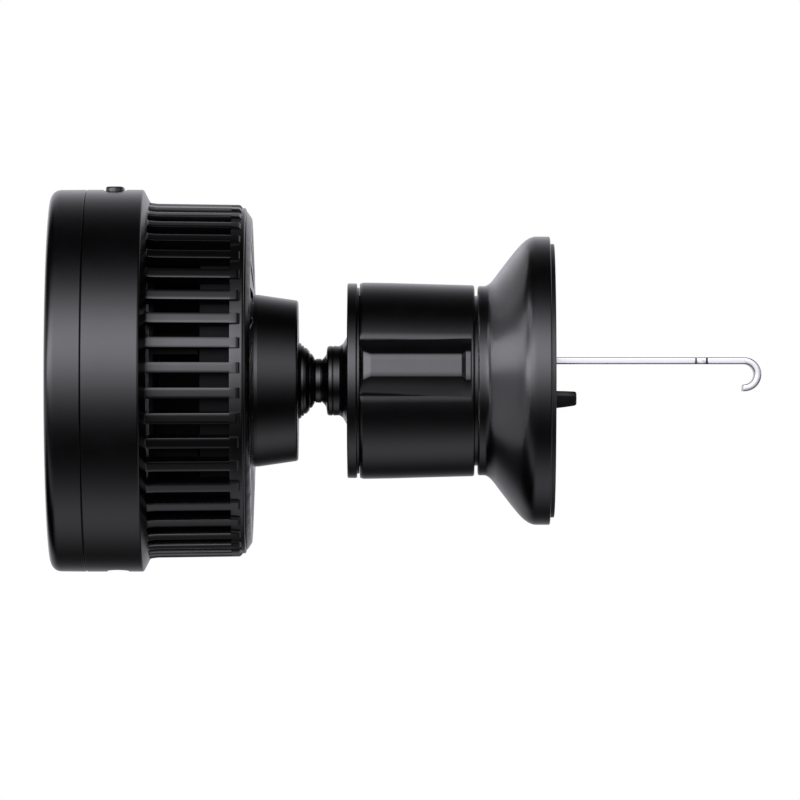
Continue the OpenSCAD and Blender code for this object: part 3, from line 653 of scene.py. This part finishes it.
def build_knob():
    """Sleeve with flat-crowned grips whose sides and ends slope down to the barrel."""
    crown, foot_half, foot_h = 1.88, 4.34, 15.2
    slope = (CROWN_R - foot_h) / (foot_half - crown)
    furthest = 4.74
    x0, x1 = knob_x0 + 0.06, knob_x1 - 0.55
    barrel = rounded([
        (knob_x0, 14.6, 0), (knob_x0, 15.94, 0.35), (knob_x0 + 4, 15.9, 0), (knob_x1 - 4, 15.6, 0),
        (knob_x1, 15.5, 0.35), (knob_x1, 14.6, 0),
    ], 5, closed=False)

    def barrel_r(x):
        """The barrel's radius at a station."""
        best = 14.6
        for (ax, ar), (bx, br) in zip(barrel, barrel[1:]):
            if ax <= x <= bx and bx > ax:
                best = max(best, ar + (br - ar) * (x - ax) / (bx - ax))
        return best

    top = rounded([
        (x0, 15.86, 0), (x0 + 0.55, 17.0, 0.12), (x0 + 1.75, CROWN_R, 0.3), (x1 - 1.6, CROWN_R, 0.15),
        (x1 - 0.95, 17.0, 0.12), (x1 - 0.12, 17.0, 0.12), (x1, 16.7, 0),
    ], 3, closed=False)
    stations = [(x, 0) for x, _ in barrel if x < x0 - 0.005 or x > x1 + 0.02]
    stations += [(x0 - 0.01, 0), (x1 + 0.015, 0)] + top
    stations += [(x, CROWN_R) for x in (x0 + 5, x0 + 9, x0 + 13)]
    stations.sort()

    def section(x, h_top):
        """One side of a grip's section as (offset across, height), from the middle outwards."""
        base = barrel_r(x)
        if not h_top:
            return None, base
        edge = crown + (CROWN_R - h_top) / slope

        def side(s):
            """Height of the sloping side at an offset across."""
            return h_top - (s - edge) * slope

        foot = edge
        while foot < furthest and side(foot) > math.sqrt(base ** 2 - foot ** 2):
            foot += 0.002
        run = foot - edge
        full = 0.16
        f = min(full, run * 0.3)
        pts = [(0, h_top), (edge * 0.5, h_top), (edge - f, h_top),
               (edge - f * 0.35, h_top - 0.04 * f / full),
               (edge + f * 0.3, side(edge + f * 0.3) - 0.035 * f / full),
               (edge + f * 0.85, side(edge + f * 0.85)),
               (edge + run * 0.5, side(edge + run * 0.5)), (foot - f * 0.5, side(foot - f * 0.5)),
               (foot, math.sqrt(base ** 2 - foot ** 2) - 0.02)]
        return pts, base

    sample, _ = section(knob_x0 + 8, CROWN_R)
    angles = [math.atan2(s, h) for s, h in sample]
    span = TAU / GRIPS
    beyond = [angles[-1] + a for a in (0.012, 0.024, 0.05)]
    plain = 56
    rest = [beyond[-1] + (span - 2 * beyond[-1]) * k / plain for k in range(1, plain)]

    points, count = [], None
    for x, h_top in stations:
        pts, base = section(x, h_top)
        ring = []
        for g in range(GRIPS):
            centre = GRIP_ANGLE + g * span
            half = [(a, base) for a in angles]
            groove = 0
            if pts:
                half = [(math.atan2(s, h), math.hypot(s, h)) for s, h in pts]
                groove = 0.1
            side = half + [(beyond[0], base - groove), (beyond[1], base - groove), (beyond[2], base)]
            ring += [(centre - a, r) for a, r in reversed(side)] + [(centre + a, r) for a, r in side[1:]]
            ring += [(centre + a, base) for a in rest]
        count = len(ring)
        points += [(x, -r * math.cos(a), r * math.sin(a)) for a, r in ring]
    template = [math.atan2(points[i][2], -points[i][1]) for i in range(count)]
    rows = len(stations)
    for x, r in ((knob_x1, 13.95), (knob_x1 - 0.1, 13.85), (knob_x0 + 0.1, 13.85), (knob_x0, 13.95)):
        points += [(x, -r * math.cos(a), r * math.sin(a)) for a in template]
        rows += 1
    faces = [
        (j * count + i, j * count + (i + 1) % count,
         (j + 1) % rows * count + (i + 1) % count, (j + 1) % rows * count + i)
        for j in range(rows) for i in range(count)
    ]
    dress(make("grip_knob", points, faces, 48), "knob", "black_plastic", "knob_sleeve")


def build_base():
    """Flared bell with a straight lip and a rolled rim."""
    hub_x = knob_x1 - 0.9
    lip_r = 15.36
    front = rounded([(hub_x, 10.1, 0), (hub_x, 13.8, 0.1), (lip_x, 13.8, 0.05), (lip_x, 15.38, 0.3),
                     (lip_x + 1.0, lip_r, 0)], 5, closed=False)
    flare = curve((lip_x + 1.0, lip_r), ((-10.63, lip_r), (-9.6, 16.75)), ((-6.54, 20.87), (-5.4, 22.05)),
                  ((-4.1, rim_r), (-2.9, rim_r)))
    back = rounded([(-2.9, rim_r, 0), (rim_x, rim_r, 0.22), (rim_x, 21.3, 0.1), (-4.6, 21.3, 0.5),
                    (-9.6, 14.8, 0.5), (-9.6, 10.1, 0)], 5, closed=False)
    outline = front + flare[1:] + back[1:]
    dress(lathe("flared_base", outline, 240), "mount_base", "black_plastic", "base_cup")


def build_pad():
    """Rubber pad with openings for the hook and the tab."""
    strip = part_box("steel_hook")
    low, high = strip[1].z / MM - HOOK_THICK, strip[1].z / MM
    slot_y = strip[1].y / MM + 0.6

    def window(y, z0, z1):
        """An opening with rounded corners, from -y to y and z0 to z1."""
        def outline(inset):
            corners = [(side * (y + inset), z, 0.5) for side, z in (
                (-1, z0 - inset), (1, z0 - inset), (1, z1 + inset), (-1, z1 + inset))]
            return rounded(corners)
        return outline

    loops = [lambda inset: circle(pad_r - inset, 160), window(slot_y, low - 0.6, high + 0.6),
             window(4.55, -4.7, -1.2)]
    grid = [p for r, n in ((2, 8), (5, 16), (8, 28), (11, 40), (14, 60), (17, 90), (19.5, 110), (21.4, 150))
            for p in circle(r, n)]
    dress(plate("rubber_face", loops, lambda r: pad_x, lambda r: rim_x, 0.14, grid),
          "mount_base", "black_rubber", "base_pad")


def build_tab():
    """Tapered stub with chamfered upper edges."""
    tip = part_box("support_tab")[1].x / MM
    rings = []
    for x, low, high, half in ((rim_x, -4.58, -1.62, 4.5), (0, -4.50, -1.64, 4.5), (1.8, -4.28, -1.69, 4.5),
                               (tip - 0.35, -4.06, -1.75, 4.48), (tip - 0.1, -3.93, -1.86, 4.38),
                               (tip, -3.75, -2.08, 4.2)):
        outline = rounded([(-half + 0.5, low, 0.2), (half - 0.5, low, 0.2), (half, high - 0.7, 0.1),
                           (half - 0.3, high, 0.12), (-half + 0.3, high, 0.12), (-half, high - 0.7, 0.1)], 3,
                          support=False)
        rings.append([(x, y, z) for y, z in outline])
    dress(loft("rest_tab", rings, 40), "mount_base", "black_rubber", "support_tab")


def build_hook():
    """Spring-steel strip: shank with a waist, then the bend down to its cut tip."""
    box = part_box("steel_hook")
    start, top = box[0].x / MM, box[1].z / MM
    bend_x = box[1].x / MM - HOOK_BEND - HOOK_THICK
    centre_z = top - HOOK_THICK - HOOK_BEND
    waist_x = bend_x - 6.95
    waist_half, waist_depth, ease = 0.7, 0.55, 0.35
    bevel = 0.08
    bend_r = HOOK_BEND + HOOK_THICK / 2
    bend_steps, bend_turn = 32, 186

    def half_width(x):
        """Half of the strip's width at a station of the shank."""
        off = abs(x - waist_x)
        return HOOK_HALF - waist_depth * min(1.0, max(0.0, 1 - (off - waist_half) / ease))

    def section(x, z, turn, half, shrink=0.0):
        """The strip's cross-section about a point of its path, at the path's turn."""
        w, h = half - shrink, HOOK_THICK / 2 - shrink
        outline = rounded([(-w, -h, 0.22), (w, -h, 0.22), (w, h, 0.22), (-w, h, 0.22)], support=False)
        return [(x + b * math.sin(turn), a, z + b * math.cos(turn)) for a, b in outline]

    offsets = (0.7, 0.78, 0.96, 1.05, 1.2, 4)
    shank = [start, start + 0.1, *[waist_x - a for a in reversed(offsets)], waist_x,
             *[waist_x + a for a in offsets], bend_x]
    path = [(x, top - HOOK_THICK / 2, 0.0, half_width(x)) for x in shank]
    for k in range(1, bend_steps + 1):
        a = math.radians(bend_turn * k / bend_steps)
        path.append((bend_x + bend_r * math.sin(a), centre_z + bend_r * math.cos(a), a, HOOK_HALF))
    x, z, a, half = path[-1]
    rings = [section(*path[0], bevel)] + [section(*p) for p in path[1:-1]]
    rings.append(section(x - bevel * math.cos(a), z + bevel * math.sin(a), a, half))
    rings.append(section(x, z, a, half, bevel))
    dress(loft("bent_hook", rings, 50, True), "hook", "polished_steel", "steel_hook")


for build in (build_cover, build_face_pad, build_housing, build_grille, build_boss, build_button, build_port,
              build_stem, build_knob, build_base, build_pad, build_tab, build_hook):
    build()

# every CAD node that still shows gets its slot's material
slots = {row["node"]: row["material_slot"] for row in frame["record"]["subparts"]}
for name, obj in frame["nodes"].items():
    if not obj.hide_render:
        obj.data.materials.clear()
        obj.data.materials.append(MATERIALS[slots[name]])

# ---------------------------------------------------------------- floor, light, camera


def build_floor():
    """A pale disc well below the part."""
    floor = lathe("floor", [(0, 0), (0, 420), (6, 420), (6, 0)], 96, closed=False)
    floor.rotation_euler = (0, math.radians(90), 0)
    floor.location = (-0.025, 0, -0.15)
    pale = bpy.data.materials.new("pale_floor")
    pale.use_nodes = True
    tree = pale.node_tree
    place = node(tree, "ShaderNodeTexCoord").outputs["Object"]
    cloud = node(tree, "ShaderNodeTexNoise", {"Vector": place, "Scale": 40.0, "Detail": 2.0}).outputs["Fac"]
    shader = tree.nodes["Principled BSDF"]
    tree.links.new(ramp(tree, cloud, [(0.3, 0.86), (0.7, 0.9)]), shader.inputs["Base Color"])
    shader.inputs["Roughness"].default_value = 0.9
    floor.data.materials.append(pale)
    floor.visible_glossy = False
    floor.visible_diffuse = False


def build_world():
    """White to the eye; the part is lit by broad soft lights all round it."""
    world = bpy.data.worlds.new("studio")
    bpy.context.scene.world = world
    world.use_nodes = True
    tree = world.node_tree
    tree.nodes.clear()
    to = node(tree, "ShaderNodeTexCoord").outputs["Generated"]
    xyz = node(tree, "ShaderNodeSeparateXYZ", {"Vector": to}).outputs

    def calc(op, *values):
        """A math node over numbers and other nodes' outputs."""
        return node(tree, "ShaderNodeMath", dict(enumerate(values)), operation=op).outputs[0]

    def bell(value, centre, spread, peak):
        """A soft light that fades out on both sides of its centre."""
        off = calc("MULTIPLY", calc("SUBTRACT", value, centre), 1 / spread)
        square = calc("MULTIPLY", off, off)
        return calc("MULTIPLY", calc("EXPONENT", calc("MULTIPLY", square, -0.5)), peak)

    def step(value, start, end):
        """0 before start, 1 after end, smooth between them."""
        return node(tree, "ShaderNodeMapRange", {"Value": value, "From Min": start, "From Max": end},
                    interpolation_type="SMOOTHSTEP").outputs[0]

    # long soft boxes, by the angle round the X axis from the camera's side upwards, in degrees
    angle = calc("MULTIPLY", calc("ARCTAN2", xyz["Z"], calc("MULTIPLY", xyz["Y"], -1.0)), 180 / math.pi)
    behind = calc("MODULO", calc("ADD", angle, 360.0), 360.0)
    fade = calc("SUBTRACT", 1.0, calc("MULTIPLY", step(xyz["X"], 0.02, 0.28), 0.76))
    above = calc("MULTIPLY", bell(angle, 23.0, 19.5, 5.6), fade)
    boxes = calc("ADD", above, bell(angle, -87.0, 17.0, 1.0))
    boxes = calc("ADD", boxes, bell(behind, 164.0, 24.0, 0.95))
    gain = calc("ADD", 1.0, calc("MULTIPLY", step(xyz["X"], -0.3, -0.6), 0.3))
    boxes = calc("MULTIPLY", boxes, gain)

    # from the head's side: a fill and the pale wall behind
    fill = calc("MULTIPLY", step(xyz["Z"], -0.3, -0.12), step(xyz["Z"], 0.4, 0.1))
    wall = calc("MULTIPLY", step(xyz["Y"], 0.6, 0.85), 0.5)
    side = calc("ADD", fill, wall)
    turn = calc("MULTIPLY", step(xyz["X"], -0.15, -0.45), step(xyz["Y"], -0.3, 0.1))
    light = calc("ADD", calc("MULTIPLY", boxes, calc("SUBTRACT", 1.0, turn)), calc("MULTIPLY", side, turn))
    glow = node(tree, "ShaderNodeBackground", {"Color": (0.94, 0.93, 1.0, 1), "Strength": light})
    white = node(tree, "ShaderNodeBackground", {"Color": (1, 1, 1, 1), "Strength": 1.0})
    seen = node(tree, "ShaderNodeLightPath").outputs["Is Camera Ray"]
    mixed = node(tree, "ShaderNodeMixShader", {0: seen, 1: glow.outputs[0], 2: white.outputs[0]})
    node(tree, "ShaderNodeOutputWorld", {"Surface": mixed.outputs[0]})


# name, direction from the base, width and height in metres, radiance
LAMPS = [
    ("streak_1", (-0.95, 0.16, 0.19), 0.36, 0.13, 3.6),
    ("streak_2", (-0.92, 0.02, 0.38), 0.24, 0.16, 3.6),
    ("streak_3", (-0.75, -0.20, 0.62), 0.28, 0.18, 3.2),
    ("flare_fill", (-0.99, 0.05, -0.05), 1.00, 0.50, 1.05),
    ("flare_top", (-0.60, 0.68, 0.40), 0.50, 0.42, 0.8),
]
LAMP_DISTANCE = 0.6


def build_lamp(name, direction, width, height, radiance):
    """A soft box that lights only the base, and that only the base can shade."""
    data = bpy.data.lights.new(name, "AREA")
    data.shape = "ELLIPSE"
    data.size, data.size_y = width, height
    data.energy = radiance * math.pi * math.pi * width * height / 4
    data.color = (0.94, 0.92, 1.0)
    data.cycles.use_multiple_importance_sampling = False
    lamp = bpy.data.objects.new(name, data)
    bpy.context.scene.collection.objects.link(lamp)
    toward = Vector(direction).normalized()
    lamp.location = Vector((-0.006, 0, 0)) + toward * LAMP_DISTANCE
    lamp.rotation_euler = toward.to_track_quat("Z", "Y").to_euler()
    lamp.visible_camera = False
    group = bpy.data.collections.new(name)
    group.objects.link(bpy.data.objects["flared_base"])
    lamp.light_linking.receiver_collection = group
    lamp.light_linking.blocker_collection = group


def build_camera():
    """A long lens square to the side, level with the knob's grip."""
    data = bpy.data.cameras.new("camera")
    camera = bpy.data.objects.new("camera", data)
    bpy.context.scene.collection.objects.link(camera)
    data.sensor_width = 36
    data.lens = 356.7
    data.clip_start, data.clip_end = 0.05, 20
    camera.location = (-0.025, -1.287, -0.00313)
    camera.rotation_euler = (math.radians(90), 0, 0)
    bpy.context.scene.camera = camera


build_floor()
build_world()
for row in LAMPS:
    build_lamp(*row)
build_camera()
settings = bpy.context.scene.view_settings
settings.view_transform = "Standard"
settings.look = "None"
